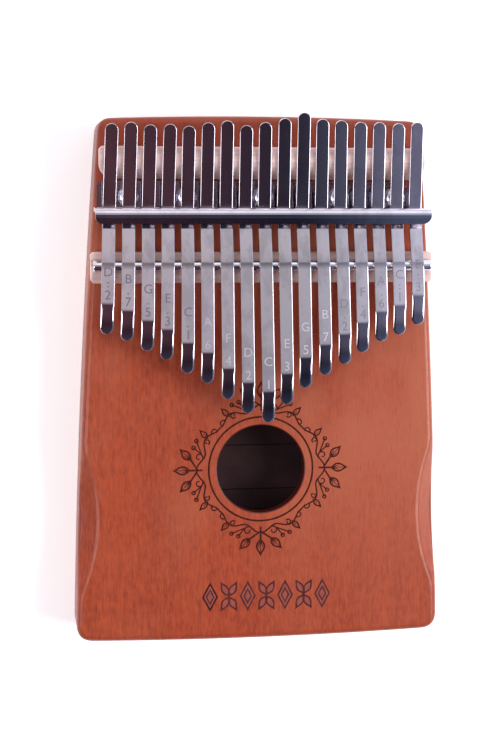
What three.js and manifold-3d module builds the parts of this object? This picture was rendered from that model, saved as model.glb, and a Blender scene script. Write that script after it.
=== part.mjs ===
// A seventeen-note thumb piano (kalimba) with a hollow mahogany body, lying on its back.
// Millimetres. +Z points out of the soundboard, +Y towards the tails of the tines, +X to the player's right.
// The origin is the middle of the object's footprint, on the surface that it lies on.
import * as THREE from "three";
import { mergeVertices } from "three/addons/utils/BufferGeometryUtils.js";
import Module from "manifold-3d";

const wasm = await Module();
wasm.setup();

// Body: three layers of wood with one outline, wider at the bottom than at the top.
const bodyLength = 186;
const bottomWidth = 131.4;
const topWidth = 113.6;
const sideBow = 1.3;
const endBow = 1.2;
const bottomCornerReach = 6;
const topCornerReach = 4.4;
const edgeRound = 2.6;
const backThickness = 4;
const coreThickness = 14.5;
const soundboardThickness = 4.5;

// Sound chamber, and the openings into it. Lengths along Y are measured from the bottom edge.
const chamberWall = 11;
const chamberBottom = 12;
const chamberTop = 122;
const chamberCorner = 8;
const soundHoleFromBottom = 62;
const soundHoleRadius = 15.65;
const vibratoHoleFromBottom = 100;
const vibratoHoleSpacing = 56;
const vibratoHoleRadius = 4.5;
const labelSize = new THREE.Vector3(58, 40, 0.2);

// Palm scoops: one long shallow cut across each front edge.
const scoopFromBottom = 44;
const scoopInset = 6.8;
const scoopDrop = 5.6;
const scoopRadius = 100;
const scoopRise = 6;
const scoopTool = 40;

// Bridges and saddle rod, with heights above the soundboard's front face.
const frontBridge = { from: 128.5, to: 139.2, height: 5.5, length: 120, corner: 1.5, chamfer: 0.6 };
const rearBridge = { from: 164.2, to: 175.2, height: 6, length: 113.6, corner: 1.5, frontCorner: 5 };
const ridgeFromBottom = 170;
const rearBridgeFrontHeight = 2.6;
const rearBridgeRearHeight = 5.2;
const rodFromBottom = 134.4;
const rodHeight = 6.2;
const rodRadius = 2;
const rodLength = 118.4;
const rodChamfer = 0.4;
const fitGap = 0.05;

// Pressure bracket: a folded steel strip whose windows hold the tines down. It was screwed on by hand, a
// little to the left of the middle.
const bracketThickness = 1.5;
const flangeLength = 114.2;
const flangeEdge = 163.4;
const flangeCorner = 1.8;
const bracketOffset = -0.5;
const riserFromBottom = 153.65;
const lipLength = 116.4;
const lipCorner = 2.5;
const lipSlope = THREE.MathUtils.degToRad(40);
const lipReach = 2.1;
const topBendRadius = 1.6;
const topBendHeight = 10.3;
const windowWidth = 5.1;
const windowBottom = 2;
const windowTop = 5.75;

// Wood screws that hold the bracket, one under every tine that is named here.
const screwUnderTine = [2, 5, 9, 13, 16];
const screwFromBottom = 158;
const screwHeadRadius = 3.5;
const screwHeadHeight = 2.2;
const screwShankRadius = 1.5;
const screwShankLength = 14;
const screwPointLength = 3;
const screwPilotRadius = 1.6;
const screwClearanceRadius = 1.8;
const recessDepth = 1.1;
const recessLength = 4;
const recessWidth = 0.9;

// Tines: spring steel strips, each pressed down at the bracket and up by the rear bridge and the saddle rod.
const tineWidth = 4.5;
const tineThickness = 1;
const tinePitch = 6.7;
const pressCornerHeight = 4.3;
const freeSlope = THREE.MathUtils.degToRad(6);
const tipSlope = THREE.MathUtils.degToRad(-5);
const tipLength = 9.6;
const pressReach = 2.2;
const rodReach = 1.2;
const tipReach = 1.6;
const tineGap = 0.12;
const tailFromBottom = 183.5;
const tineHeadroom = 20;

// A strip's pitch falls with the square of its speaking length, so the free lengths follow from the notes.
// The speaking length is lowestEffectiveLength / 2^(semitones / 24), with hiddenLength of it behind the rod.
const lowestEffectiveLength = 60.3;
const hiddenLength = 6;

// Left to right: semitones above the lowest note, the trim of the free length from tuning it by ear, how far
// the tail was slid from its nominal place, and the strip's lean in degrees, as it was set by hand.
const tines = [
  { semitones: 26, trim: 0.7, slide: -0.8, lean: 1.9 },
  { semitones: 23, trim: 0.5, slide: -0.3, lean: 1.5 },
  { semitones: 19, trim: 0.2, slide: -1.1, lean: 1.2 },
  { semitones: 16, trim: 0.2, slide: -0.8, lean: 1.2 },
  { semitones: 12, trim: 0.3, slide: -1.4, lean: 0.7 },
  { semitones: 9, trim: -0.1, slide: -0.2, lean: 0.5 },
  { semitones: 5, trim: -0.2, slide: 0.5, lean: 0.1 },
  { semitones: 2, trim: 0.1, slide: -1, lean: -0.1 },
  { semitones: 0, trim: 0, slide: 0.1, lean: -0.4 },
  { semitones: 4, trim: 0.4, slide: 1.5, lean: -0.3 },
  { semitones: 7, trim: -0.8, slide: 3.5, lean: -0.3 },
  { semitones: 11, trim: 0.2, slide: 1.4, lean: -0.7 },
  { semitones: 14, trim: 0.2, slide: 1, lean: -1 },
  { semitones: 17, trim: -0.5, slide: 0.5, lean: -0.8 },
  { semitones: 21, trim: -0.3, slide: 0.5, lean: -0.9 },
  { semitones: 24, trim: 0.2, slide: 0.2, lean: -0.7 },
  { semitones: 28, trim: 0, slide: 0.6, lean: -0.8 },
];

// Levels, and the frame's origin. The longest tail stands past the top edge of the body.
const frontFace = backThickness + coreThickness + soundboardThickness;
const coreTop = backThickness + coreThickness;
const longestTail = tailFromBottom + Math.max(...tines.map(({ slide }) => slide));
const overallLength = Math.max(longestTail, bodyLength);
const fromBottom = (distance) => distance - overallLength / 2;
const aboveFace = (height) => frontFace + height;

const mahogany = new THREE.MeshStandardMaterial({ color: 0xb0573f, roughness: 0.55, metalness: 0 });
const innerMahogany = new THREE.MeshStandardMaterial({ color: 0x9c4c38, roughness: 0.7, metalness: 0 });
const maple = new THREE.MeshStandardMaterial({ color: 0xdcc0ae, roughness: 0.5, metalness: 0 });
const chrome = new THREE.MeshStandardMaterial({ color: 0xc8c8d0, roughness: 0.12, metalness: 1 });
const springSteel = new THREE.MeshStandardMaterial({ color: 0xb8b6c0, roughness: 0.25, metalness: 1 });
const paper = new THREE.MeshStandardMaterial({ color: 0xd8ccb0, roughness: 0.9, metalness: 0 });

// ---- Solids ----

function solid(geometry) {
  const bare = geometry.clone();
  bare.deleteAttribute("normal");
  bare.deleteAttribute("uv");
  const merged = mergeVertices(bare, 1e-4);
  return new wasm.Manifold(
    new wasm.Mesh({
      numProp: 3,
      vertProperties: merged.getAttribute("position").array,
      triVerts: new Uint32Array(merged.index.array),
    }),
  );
}

function namedMesh(name, manifold, material) {
  const { vertProperties, triVerts } = manifold.getMesh();
  const geometry = new THREE.BufferGeometry();
  geometry.setAttribute("position", new THREE.BufferAttribute(new Float32Array(vertProperties), 3));
  geometry.setIndex(new THREE.BufferAttribute(new Uint32Array(triVerts), 1));
  geometry.computeVertexNormals();
  const mesh = new THREE.Mesh(geometry, material);
  mesh.name = name;
  return mesh;
}

// A shape drawn in plan, between two heights.
function planSolid(shape, low, high, curveSegments = 12) {
  const settings = { depth: high - low, bevelEnabled: false, curveSegments };
  return solid(new THREE.ExtrudeGeometry(shape, settings).translate(0, 0, low));
}

// A shape drawn in the side view, its x along +Y and its y along +Z, carried across the object along X.
function sideSolid(shape, width, curveSegments = 12) {
  const geometry = new THREE.ExtrudeGeometry(shape, { depth: width, bevelEnabled: false, curveSegments });
  geometry.translate(0, 0, -width / 2);
  const turn = new THREE.Matrix4().makeBasis(
    new THREE.Vector3(0, 1, 0),
    new THREE.Vector3(0, 0, 1),
    new THREE.Vector3(1, 0, 0),
  );
  return solid(geometry.applyMatrix4(turn));
}

// A box between two opposite corners, given in any order.
function boxSolid(cornerA, cornerB) {
  const box = new THREE.Box3().setFromPoints([cornerA, cornerB]);
  const size = box.getSize(new THREE.Vector3());
  const centre = box.getCenter(new THREE.Vector3());
  return solid(new THREE.BoxGeometry(size.x, size.y, size.z).translate(centre.x, centre.y, centre.z));
}

function uprightHole(x, y, radius, low, high, segments = 20) {
  const geometry = new THREE.CylinderGeometry(radius, radius, high - low, segments);
  return solid(geometry.rotateX(Math.PI / 2).translate(x, y, (low + high) / 2));
}

function roundedRectangle(left, bottom, right, top, corners) {
  const [bottomLeft, bottomRight, topRight, topLeft] = corners;
  const shape = new THREE.Shape();
  shape.moveTo(left + bottomLeft, bottom);
  shape.lineTo(right - bottomRight, bottom);
  shape.absarc(right - bottomRight, bottom + bottomRight, bottomRight, -Math.PI / 2, 0);
  shape.lineTo(right, top - topRight);
  shape.absarc(right - topRight, top - topRight, topRight, 0, Math.PI / 2);
  shape.lineTo(left + topLeft, top);
  shape.absarc(left + topLeft, top - topLeft, topLeft, Math.PI / 2, Math.PI);
  shape.lineTo(left, bottom + bottomLeft);
  shape.absarc(left + bottomLeft, bottom + bottomLeft, bottomLeft, Math.PI, 1.5 * Math.PI);
  return shape;
}

// ---- Body ----

function halfWidthAt(distance) {
  const t = distance / bodyLength;
  return THREE.MathUtils.lerp(bottomWidth, topWidth, t) / 2 + 4 * sideBow * t * (1 - t);
}

function cornerReach(corner) {
  return corner.y < 0 ? bottomCornerReach : topCornerReach;
}

function bowedEdge(start, end, bow, steps) {
  const along = end.clone().sub(start);
  const outward = new THREE.Vector2(along.y, -along.x).normalize();
  const first = cornerReach(start) / along.length();
  const last = 1 - cornerReach(end) / along.length();
  return Array.from({ length: steps + 1 }, (_, i) => {
    const t = THREE.MathUtils.lerp(first, last, i / steps);
    return start.clone().addScaledVector(along, t).addScaledVector(outward, 4 * bow * t * (1 - t));
  });
}

// The body's plan, anticlockwise: four bowed edges joined by rounded corners.
function bodyOutline() {
  const bottom = fromBottom(endBow);
  const top = fromBottom(bodyLength - endBow);
  const corners = [
    new THREE.Vector2(-bottomWidth / 2, bottom),
    new THREE.Vector2(bottomWidth / 2, bottom),
    new THREE.Vector2(topWidth / 2, top),
    new THREE.Vector2(-topWidth / 2, top),
  ];
  const edges = corners.map((corner, i) => {
    const isEnd = i % 2 === 0;
    return bowedEdge(corner, corners[(i + 1) % 4], isEnd ? endBow : sideBow, isEnd ? 6 : 8);
  });
  return edges.flatMap((edge, i) => {
    const next = edges[(i + 1) % 4];
    const corner = new THREE.QuadraticBezierCurve(edge.at(-1), corners[(i + 1) % 4], next[0]);
    return [...edge, ...corner.getPoints(5).slice(1, -1)];
  });
}

const outline = bodyOutline();
const outlineNormals = outline.map((_, i) => {
  const before = outline.at(i - 1);
  const after = outline[(i + 1) % outline.length];
  return new THREE.Vector2(after.y - before.y, before.x - after.x).normalize();
});

// A slab of the body's plan. From low to high, each level has a height and how far the outline is drawn in.
function bodySlab(levels) {
  const count = outline.length;
  const positions = [];
  const index = [];
  levels.forEach(({ height, inset }) => {
    outline.forEach((point, i) => {
      const moved = point.clone().addScaledVector(outlineNormals[i], -inset);
      positions.push(moved.x, moved.y, height);
    });
  });
  for (let level = 0; level + 1 < levels.length; level++) {
    for (let i = 0; i < count; i++) {
      const a = level * count + i;
      const b = level * count + ((i + 1) % count);
      index.push(a, b, b + count, a, b + count, a + count);
    }
  }
  const lid = (levels.length - 1) * count;
  THREE.ShapeUtils.triangulateShape(outline, []).forEach(([a, b, c]) => {
    index.push(a, c, b);
    index.push(lid + a, lid + b, lid + c);
  });
  const geometry = new THREE.BufferGeometry();
  geometry.setAttribute("position", new THREE.BufferAttribute(new Float32Array(positions), 3));
  geometry.setIndex(index);
  return solid(geometry);
}

// Levels of a quarter-round edge: the outline draws in by edgeRound as it comes up to the face.
function roundOver(face, direction) {
  const steps = 4;
  return Array.from({ length: steps + 1 }, (_, i) => {
    const angle = (i / steps) * (Math.PI / 2);
    return {
      height: face - direction * edgeRound * (1 - Math.sin(angle)),
      inset: edgeRound * (1 - Math.cos(angle)),
    };
  });
}

// The cutter of one palm scoop: a long drum that leans across the front edge.
function palmScoop(side) {
  const slope = Math.atan2(scoopDrop, scoopInset);
  const depth = scoopInset * Math.sin(slope);
  const reach = Math.acos((scoopRadius - depth - scoopRise) / scoopRadius);
  const drum = new THREE.Shape();
  drum.absarc(0, scoopRadius - depth, scoopRadius, -Math.PI / 2 - reach, -Math.PI / 2 + reach);
  const settings = { depth: scoopTool, bevelEnabled: false, curveSegments: 20 };
  const geometry = new THREE.ExtrudeGeometry(drum, settings).translate(0, 0, -scoopTool / 2);
  const lean = new THREE.Matrix4().makeBasis(
    new THREE.Vector3(0, side, 0),
    new THREE.Vector3(side * Math.sin(slope), 0, Math.cos(slope)),
    new THREE.Vector3(side * Math.cos(slope), 0, -Math.sin(slope)),
  );
  const taper = Math.atan((halfWidthAt(scoopFromBottom - 1) - halfWidthAt(scoopFromBottom + 1)) / 2);
  geometry.applyMatrix4(lean).rotateZ(side * taper);
  geometry.translate(side * halfWidthAt(scoopFromBottom), fromBottom(scoopFromBottom), frontFace);
  return solid(geometry);
}

const palmScoops = palmScoop(-1).add(palmScoop(1));

function tineX(number) {
  return (number - (tines.length + 1) / 2) * tinePitch;
}

function screwHoles(radius, low, high) {
  const holes = screwUnderTine.map((number) =>
    uprightHole(tineX(number), fromBottom(screwFromBottom), radius, low, high),
  );
  return holes.reduce((all, hole) => all.add(hole));
}

function makeSoundboard() {
  const slab = bodySlab([{ height: coreTop, inset: 0 }, ...roundOver(frontFace, 1)]);
  const holeY = fromBottom(soundHoleFromBottom);
  const soundHole = uprightHole(0, holeY, soundHoleRadius, coreTop - 1, frontFace + 1, 64);
  const pilots = screwHoles(screwPilotRadius, coreTop - 1, frontFace + 1);
  return slab.subtract(soundHole).subtract(palmScoops).subtract(pilots);
}

// The middle layer: walls all round, and a solid head under the bridges that takes the bracket's screws.
function makeBodyCore() {
  const slab = bodySlab([
    { height: backThickness, inset: 0 },
    { height: coreTop, inset: 0 },
  ]);
  const low = fromBottom(chamberBottom);
  const high = fromBottom(chamberTop);
  const lowHalf = halfWidthAt(chamberBottom) - chamberWall;
  const highHalf = halfWidthAt(chamberTop) - chamberWall;
  const chamber = new THREE.Shape();
  chamber.moveTo(-lowHalf + chamberCorner, low);
  chamber.lineTo(lowHalf - chamberCorner, low);
  chamber.quadraticCurveTo(lowHalf, low, lowHalf, low + chamberCorner);
  chamber.lineTo(highHalf, high - chamberCorner);
  chamber.quadraticCurveTo(highHalf, high, highHalf - chamberCorner, high);
  chamber.lineTo(-highHalf + chamberCorner, high);
  chamber.quadraticCurveTo(-highHalf, high, -highHalf, high - chamberCorner);
  chamber.lineTo(-lowHalf, low + chamberCorner);
  chamber.quadraticCurveTo(-lowHalf, low, -lowHalf + chamberCorner, low);
  const pilotDepth = aboveFace(bracketThickness) - screwShankLength - fitGap;
  return slab
    .subtract(planSolid(chamber, backThickness - 1, coreTop + 1, 5))
    .subtract(palmScoops)
    .subtract(screwHoles(screwPilotRadius, pilotDepth, coreTop + 1));
}

function makeBackBoard() {
  const slab = bodySlab([...roundOver(0, -1).reverse(), { height: backThickness, inset: 0 }]);
  return slab.subtract(vibratoHoles(vibratoHoleRadius));
}

// The two holes in the back that the fingers open and close, as cutters of a given radius.
function vibratoHoles(radius) {
  const y = fromBottom(vibratoHoleFromBottom);
  const [left, right] = [-1, 1].map((side) =>
    uprightHole((side * vibratoHoleSpacing) / 2, y, radius, -1, backThickness + 1, 32),
  );
  return left.add(right);
}

function makeInteriorLabel() {
  const middle = fromBottom(soundHoleFromBottom);
  const halfLength = labelSize.x / 2;
  const halfHeight = labelSize.y / 2;
  const corners = [2, 2, 2, 2];
  const shape = roundedRectangle(-halfLength, middle - halfHeight, halfLength, middle + halfHeight, corners);
  return planSolid(shape, backThickness, backThickness + labelSize.z, 3);
}

// ---- Bridges, rod and bracket ----

function makeRearBridge() {
  const { from, to, height, length, corner, frontCorner } = rearBridge;
  const round = 0.8;
  const front = fromBottom(from);
  const rear = fromBottom(to);
  const ridge = fromBottom(ridgeFromBottom);
  const top = aboveFace(height);
  const rearTop = aboveFace(rearBridgeRearHeight);
  const section = new THREE.Shape();
  section.moveTo(front, frontFace);
  section.lineTo(rear, frontFace);
  section.lineTo(rear, rearTop - round);
  section.quadraticCurveTo(rear, rearTop, rear - round, rearTop);
  section.quadraticCurveTo(ridge + 2 * round, top, ridge, top);
  section.quadraticCurveTo(ridge - 3 * round, top, front, aboveFace(rearBridgeFrontHeight));
  const corners = [frontCorner, frontCorner, corner, corner];
  const plan = roundedRectangle(-length / 2, front, length / 2, rear, corners);
  return sideSolid(section, length, 4).intersect(planSolid(plan, frontFace, top + 1, 5));
}

function makeFrontBridge() {
  const { from, to, height, length, corner, chamfer } = frontBridge;
  const front = fromBottom(from);
  const rear = fromBottom(to);
  const top = aboveFace(height);
  const section = new THREE.Shape();
  section.moveTo(front, frontFace);
  section.lineTo(rear, frontFace);
  section.lineTo(rear, top - chamfer);
  section.lineTo(rear - chamfer, top);
  section.lineTo(front + chamfer, top);
  section.lineTo(front, top - chamfer);
  const corners = [corner, corner, corner, corner];
  const plan = roundedRectangle(-length / 2, front, length / 2, rear, corners);
  const groove = new THREE.CylinderGeometry(rodRadius + fitGap, rodRadius + fitGap, length + 2, 32);
  groove.rotateZ(Math.PI / 2).translate(0, fromBottom(rodFromBottom), aboveFace(rodHeight));
  return sideSolid(section, length)
    .intersect(planSolid(plan, frontFace, top + 1, 4))
    .subtract(solid(groove));
}

function makeSaddleRod() {
  const half = rodLength / 2;
  const profile = [
    new THREE.Vector2(0, -half),
    new THREE.Vector2(rodRadius - rodChamfer, -half),
    new THREE.Vector2(rodRadius, -half + rodChamfer),
    new THREE.Vector2(rodRadius, half - rodChamfer),
    new THREE.Vector2(rodRadius - rodChamfer, half),
    new THREE.Vector2(0, half),
  ];
  const geometry = new THREE.LatheGeometry(profile, 32).rotateZ(Math.PI / 2);
  return solid(geometry.translate(0, fromBottom(rodFromBottom), aboveFace(rodHeight)));
}

// The bracket's section: a strip that runs forward along the flange, up the riser and down the lip.
function bracketSection() {
  const half = bracketThickness / 2;
  const bendY = riserFromBottom - topBendRadius;
  const middle = [new THREE.Vector2(flangeEdge, half), new THREE.Vector2(riserFromBottom + half, half)];
  const footSteps = 3;
  for (let i = 1; i <= footSteps; i++) {
    const angle = (i / footSteps) * (Math.PI / 2);
    const x = riserFromBottom + half * (1 - Math.sin(angle));
    middle.push(new THREE.Vector2(x, half * (2 - Math.cos(angle))));
  }
  const bendSteps = 8;
  for (let i = 0; i <= bendSteps; i++) {
    const angle = (i / bendSteps) * (Math.PI / 2 + lipSlope);
    const x = bendY + topBendRadius * Math.cos(angle);
    middle.push(new THREE.Vector2(x, topBendHeight + topBendRadius * Math.sin(angle)));
  }
  const lipStep = new THREE.Vector2(-Math.cos(lipSlope), -Math.sin(lipSlope)).multiplyScalar(lipReach);
  middle.push(middle.at(-1).clone().add(lipStep));
  return stripShape(middle, bracketThickness);
}

// A strip's side view, from its middle line in (distance from the bottom edge, height above the soundboard).
function stripShape(middle, thickness) {
  const sides = [1, -1].map((side) =>
    middle.map((point, i) => {
      const before = middle[Math.max(i - 1, 0)];
      const after = middle[Math.min(i + 1, middle.length - 1)];
      const normal = new THREE.Vector2(before.y - after.y, after.x - before.x).normalize();
      const moved = point.clone().addScaledVector(normal, (side * thickness) / 2);
      return new THREE.Vector2(fromBottom(moved.x), aboveFace(moved.y));
    }),
  );
  return new THREE.Shape([...sides[0], ...sides[1].reverse()]);
}

// What a rounded corner takes off a square one at (x, y), whose material lies towards (-sideX, -sideY).
function cornerWaste(x, y, radius, sideX, sideY, low, high) {
  const centreX = x - sideX * radius;
  const centreY = y - sideY * radius;
  const pastCorner = new THREE.Vector3(x + sideX, y + sideY, high);
  const block = boxSolid(new THREE.Vector3(centreX, centreY, low), pastCorner);
  return block.subtract(uprightHole(centreX, centreY, radius, low - 1, high + 1, 24));
}

function makeBracket() {
  const lipMiddle = topBendRadius * (1 + Math.sin(lipSlope)) + lipReach * Math.cos(lipSlope);
  const lipEdge = riserFromBottom - lipMiddle - (bracketThickness / 2) * Math.sin(lipSlope);
  let bracket = sideSolid(bracketSection(), lipLength).translate([bracketOffset, 0, 0]);
  const below = frontFace - 1;
  const flangeTop = aboveFace(windowBottom);
  const above = aboveFace(topBendHeight + topBendRadius + bracketThickness);
  for (const side of [-1, 1]) {
    const flangeEnd = bracketOffset + (side * flangeLength) / 2;
    const pastEnd = new THREE.Vector3(side * lipLength, fromBottom(flangeEdge + 1), flangeTop);
    const endWaste = boxSolid(new THREE.Vector3(flangeEnd, fromBottom(riserFromBottom - 3), below), pastEnd);
    const flangeRear = fromBottom(flangeEdge);
    const flangeWaste = cornerWaste(flangeEnd, flangeRear, flangeCorner, side, 1, below, flangeTop);
    const lipEnd = bracketOffset + (side * lipLength) / 2;
    const lipFront = fromBottom(lipEdge);
    const lipWaste = cornerWaste(lipEnd, lipFront, lipCorner, side, -1, aboveFace(windowTop), above);
    bracket = bracket.subtract(endWaste).subtract(flangeWaste).subtract(lipWaste);
  }
  tines.forEach((_, i) => {
    const low = new THREE.Vector3(tineX(i + 1) - windowWidth / 2, fromBottom(riserFromBottom - 2), flangeTop);
    const high = low.clone().add(new THREE.Vector3(windowWidth, 4, windowTop - windowBottom));
    bracket = bracket.subtract(boxSolid(low, high));
  });
  return bracket.subtract(screwHoles(screwClearanceRadius, frontFace - 1, aboveFace(bracketThickness + 1)));
}

function makeScrew(number) {
  const profile = [
    new THREE.Vector2(0, -screwShankLength),
    new THREE.Vector2(screwShankRadius, -screwShankLength + screwPointLength),
    new THREE.Vector2(screwShankRadius, 0),
    new THREE.Vector2(screwHeadRadius, 0),
    new THREE.Vector2(screwHeadRadius, 0.5 * screwHeadHeight),
    new THREE.Vector2(0.85 * screwHeadRadius, 0.85 * screwHeadHeight),
    new THREE.Vector2(0.5 * screwHeadRadius, screwHeadHeight),
    new THREE.Vector2(0, screwHeadHeight),
  ];
  const body = solid(new THREE.LatheGeometry(profile, 20).rotateX(Math.PI / 2));
  const slots = [
    [recessLength, recessWidth],
    [recessWidth, recessLength],
  ].map(([x, y]) =>
    boxSolid(
      new THREE.Vector3(-x / 2, -y / 2, screwHeadHeight - recessDepth),
      new THREE.Vector3(x / 2, y / 2, screwHeadHeight + 1),
    ),
  );
  return body
    .subtract(slots[0].add(slots[1]))
    .translate([tineX(number), fromBottom(screwFromBottom), aboveFace(bracketThickness)]);
}

// ---- Tines ----

function freeLength({ semitones, trim }) {
  return lowestEffectiveLength / 2 ** (semitones / 24) - hiddenLength + trim;
}

// Points round one corner of a bent strip, from reach before it to reach after it.
function bend(before, corner, after, reach) {
  const start = corner.clone().add(before.clone().sub(corner).setLength(reach));
  const end = corner.clone().add(after.clone().sub(corner).setLength(reach));
  return new THREE.QuadraticBezierCurve(start, corner, end).getPoints(5);
}

// A tine's middle line: tail, rear bridge, down under the bracket, up over the rod, and out to the tip.
function tineMiddle(tine) {
  const half = tineThickness / 2;
  const rest = rearBridge.height + tineGap + half;
  const press = new THREE.Vector2(riserFromBottom, pressCornerHeight + half);
  const tail = tailFromBottom + tine.slide;
  const tailRise = (rest - press.y) / (ridgeFromBottom - press.x);
  const tailEnd = new THREE.Vector2(tail, press.y + tailRise * (tail - press.x));
  const rod = new THREE.Vector2(rodFromBottom, rodHeight + rodRadius + tineGap + half);
  const bent = freeLength(tine) - tipLength;
  const knee = new THREE.Vector2(rod.x - bent * Math.cos(freeSlope), rod.y + bent * Math.sin(freeSlope));
  const tip = new THREE.Vector2(
    knee.x - tipLength * Math.cos(tipSlope),
    knee.y + tipLength * Math.sin(tipSlope),
  );
  return [
    tailEnd,
    ...bend(tailEnd, press, rod, pressReach),
    ...bend(press, rod, knee, rodReach),
    ...bend(rod, knee, tip, tipReach),
    tip,
  ];
}

function makeTine(tine, number) {
  const middle = tineMiddle(tine);
  const tail = middle[0].x;
  const tip = middle.at(-1).x;
  const half = tineWidth / 2;
  const strip = sideSolid(stripShape(middle, tineThickness), tineWidth);
  const ends = [half, half, half, half].map((radius) => radius * 0.999);
  const plan = roundedRectangle(-half, fromBottom(tip), half, fromBottom(tail), ends);
  return strip
    .intersect(planSolid(plan, frontFace, aboveFace(tineHeadroom), 5))
    .translate([0, -fromBottom(riserFromBottom), 0])
    .rotate([0, 0, -tine.lean])
    .translate([tineX(number), fromBottom(riserFromBottom), 0]);
}

// ---- The instrument ----

const twoDigits = (number) => String(number).padStart(2, "0");

const kalimba = new THREE.Group();
kalimba.name = "kalimba";
kalimba.add(
  namedMesh("back_board", makeBackBoard(), mahogany),
  namedMesh("body_core", makeBodyCore(), innerMahogany),
  namedMesh("soundboard", makeSoundboard(), mahogany),
  namedMesh("interior_label", makeInteriorLabel(), paper),
  namedMesh("rear_bridge", makeRearBridge(), maple),
  namedMesh("front_bridge", makeFrontBridge(), maple),
  namedMesh("saddle_rod", makeSaddleRod(), chrome),
  namedMesh("z_bracket", makeBracket(), chrome),
);
screwUnderTine.forEach((number, i) => {
  kalimba.add(namedMesh(`bracket_screw_${i + 1}`, makeScrew(number), chrome));
});
tines.forEach((tine, i) => {
  kalimba.add(namedMesh(`tine_${twoDigits(i + 1)}`, makeTine(tine, i + 1), springSteel));
});

export default kalimba;
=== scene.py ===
import math

import bmesh
import bpy
from mathutils import Matrix, Vector
from mathutils.geometry import tessellate_polygon


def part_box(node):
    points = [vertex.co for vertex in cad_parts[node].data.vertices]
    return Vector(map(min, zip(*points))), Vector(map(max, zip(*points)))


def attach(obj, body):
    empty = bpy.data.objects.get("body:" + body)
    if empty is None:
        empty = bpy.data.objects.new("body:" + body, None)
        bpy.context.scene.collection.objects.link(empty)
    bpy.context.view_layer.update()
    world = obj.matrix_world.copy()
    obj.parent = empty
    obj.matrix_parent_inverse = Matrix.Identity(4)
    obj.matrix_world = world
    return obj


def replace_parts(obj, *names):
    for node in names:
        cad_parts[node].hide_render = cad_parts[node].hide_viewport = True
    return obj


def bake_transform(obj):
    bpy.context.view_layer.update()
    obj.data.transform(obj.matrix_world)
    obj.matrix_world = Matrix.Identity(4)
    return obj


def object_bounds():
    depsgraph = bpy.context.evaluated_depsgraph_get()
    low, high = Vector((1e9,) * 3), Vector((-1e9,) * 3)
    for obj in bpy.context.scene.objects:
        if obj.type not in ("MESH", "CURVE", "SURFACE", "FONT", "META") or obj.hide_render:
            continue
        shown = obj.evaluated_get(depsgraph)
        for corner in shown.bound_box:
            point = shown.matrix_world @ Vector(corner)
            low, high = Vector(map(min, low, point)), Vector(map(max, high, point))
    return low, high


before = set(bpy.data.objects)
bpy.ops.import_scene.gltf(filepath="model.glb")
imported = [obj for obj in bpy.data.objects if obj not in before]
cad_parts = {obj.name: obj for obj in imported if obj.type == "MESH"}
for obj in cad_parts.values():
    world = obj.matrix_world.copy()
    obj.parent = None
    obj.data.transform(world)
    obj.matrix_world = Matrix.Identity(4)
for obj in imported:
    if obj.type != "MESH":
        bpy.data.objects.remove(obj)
cad_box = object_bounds()

# ---- Driving dimensions, in metres, in the row frame ----

MM = 0.001
BOX = {name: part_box(name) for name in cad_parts}

FACE = BOX["soundboard"][1].z
CORE_TOP = BOX["soundboard"][0].z
CORE_LOW = BOX["body_core"][0].z
BOTTOM_EDGE = BOX["soundboard"][0].y
BODY_LENGTH = 186 * MM
BOTTOM_WIDTH = 131.4 * MM
TOP_WIDTH = 113.6 * MM
SIDE_BOW = 1.3 * MM
END_BOW = 1.2 * MM
BOTTOM_CORNER_REACH = 6 * MM
TOP_CORNER_REACH = 4.4 * MM
EDGE_ROUND = 2.6 * MM
SKIN_INSET = 0.03 * MM
PROFILE_INSET = 2.9 * MM
SEAM = 0.12 * MM

SCOOP_MIDDLE = BOTTOM_EDGE + 44 * MM
SCOOP_INSET = 6.8 * MM
SCOOP_DROP = 5.6 * MM
SCOOP_SLOPE = math.atan2(SCOOP_DROP, SCOOP_INSET)
SCOOP_DEPTH = SCOOP_INSET * math.sin(SCOOP_SLOPE)
SCOOP_RADIUS = 100 * MM
SCOOP_SOFTNESS = 0.7 * MM

HOLE = Vector((0, BOTTOM_EDGE + 62 * MM, FACE))
HOLE_RADIUS = 15.65 * MM
VIBRATO_Y = BOTTOM_EDGE + 100 * MM
VIBRATO_X = 28 * MM
VIBRATO_RADIUS = 4.5 * MM
LABEL_RULES = (67.8 * MM, 51.4 * MM)
CHAMBER = {"wall": 11 * MM, "bottom": 12 * MM, "top": 122 * MM, "corner": 8 * MM}

ROD_Y = (BOX["saddle_rod"][0].y + BOX["saddle_rod"][1].y) / 2
ROD_Z = (BOX["saddle_rod"][0].z + BOX["saddle_rod"][1].z) / 2
ROD_TOP = BOX["saddle_rod"][1].z
ROD_INSET = 0.01 * MM
GROOVE_GAP = 0.05 * MM
BRIDGE_FRONT_HEIGHT = 2.6 * MM
BRIDGE_REAR_FALL = 0.8 * MM
RIDGE_Y = BOX["rear_bridge"][0].y + 5.8 * MM
RIDGE_TOP = BOX["rear_bridge"][1].z
RISER_Y = BOX["z_bracket"][1].y - 9.75 * MM
BRACKET_THICKNESS = 1.5 * MM
SCREW_COUNT = 5

TINE_WIDTH = 4.5 * MM
TINE_THICKNESS = 1 * MM
END_RADIUS = TINE_WIDTH / 2
TINE_PITCH = 6.7 * MM
TINE_GAP = 0.12 * MM
END_TRIM = 0.1 * MM
PRESS_HEIGHT = 4.8 * MM
FREE_SLOPE = math.tan(math.radians(6))
TIP_ANGLE = math.radians(5)
TIP_SLOPE = math.tan(TIP_ANGLE)
TIP_RUN = 9.6 * MM * math.cos(TIP_ANGLE)
WORN_SLOPE = math.tan(math.radians(7))
WORN_RUN = 3.6 * MM
TIP_BEND = 1.6 * MM
ROD_BEND = 1.2 * MM
PRESS_BEND = 2.2 * MM
PLAIN_RIM = (0.17 * MM, 0.14 * MM)
WORN_RIM = (0.65 * MM, 0.34 * MM)

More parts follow.
